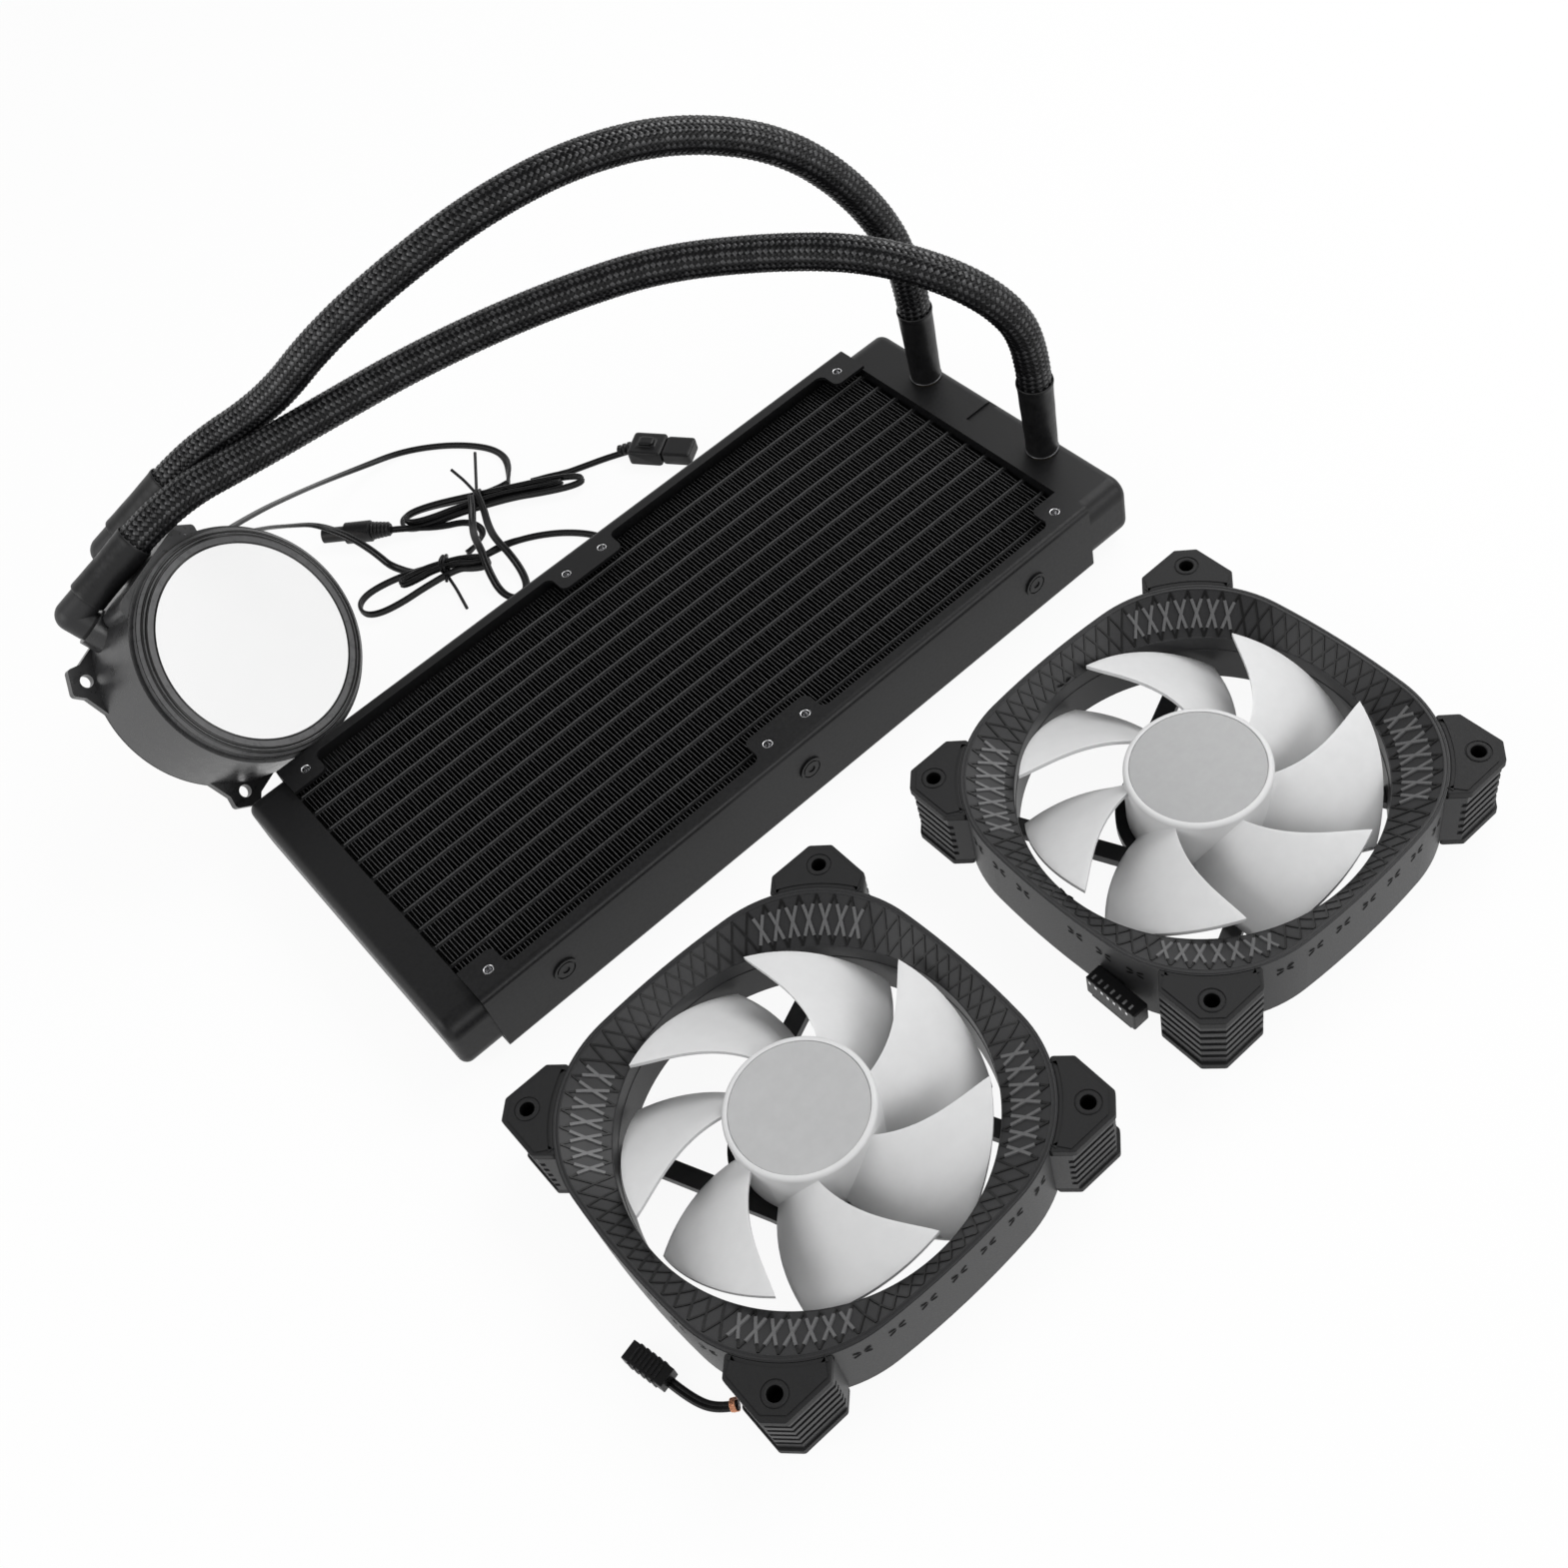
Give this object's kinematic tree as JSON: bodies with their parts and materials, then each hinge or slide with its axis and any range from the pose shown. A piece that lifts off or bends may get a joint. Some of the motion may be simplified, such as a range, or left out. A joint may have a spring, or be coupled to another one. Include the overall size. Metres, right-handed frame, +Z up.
{
  "type": "liquid processor cooler with two fans",
  "caption": "Closed-loop liquid cooler: finned radiator, braided hoses, round pump head with a mirrored lens, cable bundles and loose square fans.",
  "frame": {"origin": "centre of the radiator's footprint on the table", "axes": "+X along the radiator towards the tank with the two hoses, +Y from the fans towards the pump head, +Z up"},
  "size_m": [0.2914, 0.3923, 0.156],
  "materials": {
    "black_metal": "satin",
    "brass_barb": "machined",
    "hose_braid": "braided",
    "sleeve_rubber": "satin",
    "black_plastic": "fine grain",
    "seal_rubber": "matte",
    "pump_shell": "satin gloss",
    "bezel": "satin",
    "lens": "clear mirror",
    "diffuser": "frosted",
    "board": "solder mask",
    "stator_steel": "laminated",
    "white_plastic": "moulded",
    "steel": "ground",
    "copper": "ground copper",
    "lead": "satin",
    "tie": "soft",
    "plug_plastic": "moulded",
    "fan_frame": "fine grain",
    "fan_pad": "matte",
    "blade_white": "frosted",
    "hub_cap": "satin"
  },
  "bodies": {
    "cooler": {"radiator_tubes": "black_metal", "radiator_fins": "black_metal", "header_hose_end": "black_metal", "header_return": "black_metal", "tank_hose_end": "black_metal", "tank_return": "black_metal", "channel_front": "black_metal", "channel_rear": "black_metal", "side_rivets": "black_metal", "hose_barbs": "brass_barb", "radiator_sleeves": "black_metal", "hose_front": "hose_braid", "hose_rear": "hose_braid", "pump_sleeves": "sleeve_rubber", "elbow_front": "black_plastic", "elbow_rear": "black_plastic", "elbow_seals": "seal_rubber", "pump_housing": "pump_shell", "bezel_ring": "bezel", "display_lens": "lens", "light_guide": "diffuser", "driver_board": "board", "pump_stator": "stator_steel", "motor_can": "black_plastic", "rotor_shaft": "steel", "chamber_plate": "black_plastic", "chamber_seal": "seal_rubber", "cold_plate": "copper", "cold_plate_screws": "steel", "lead_front": "lead", "lead_rear": "lead", "lead_barrel": "lead", "lead_loop": "lead", "tail_front": "lead", "tail_rear": "lead", "fan_left_lead": "lead", "bundle_front": "lead", "bundle_rear": "lead", "bundle_ties": "tie", "barrel_plug": "plug_plastic", "lead_joint": "plug_plastic", "power_plug": "plug_plastic", "fan_left_plug": "plug_plastic", "fan_right_plug": "plug_plastic", "fan_right_ribbon": "lead", "fan_left_frame": "fan_frame", "fan_left_pads": "fan_pad", "fan_left_bearing": "steel", "fan_left_motor": "board", "fan_right_frame": "fan_frame", "fan_right_pads": "fan_pad", "fan_right_bearing": "steel", "fan_right_motor": "board"},
    "fan_left_rotor": {"fan_left_impeller": "blade_white", "fan_left_hub_cap": "hub_cap", "fan_left_rotor_core": "steel"},
    "fan_right_rotor": {"fan_right_impeller": "blade_white", "fan_right_hub_cap": "hub_cap", "fan_right_rotor_core": "steel"},
    "pump_rotor_body": {"pump_rotor": "white_plastic"}
  },
  "joints": [
    {"name": "fan_left_spin", "type": "hinge", "parent": "cooler", "child": "fan_left_rotor", "pos_m": [-0.0772, -0.1479, 0.0125], "axis": [0, 0, 1], "continuous": true},
    {"name": "fan_right_spin", "type": "hinge", "parent": "cooler", "child": "fan_right_rotor", "pos_m": [0.07, -0.1505, 0.0125], "axis": [0, 0, 1], "continuous": true},
    {"name": "pump_spin", "type": "hinge", "parent": "cooler", "child": "pump_rotor_body", "pos_m": [-0.10752, 0.09867, 0.04109], "axis": [0.391, -0.7083, 0.5878], "continuous": true}
  ]
}
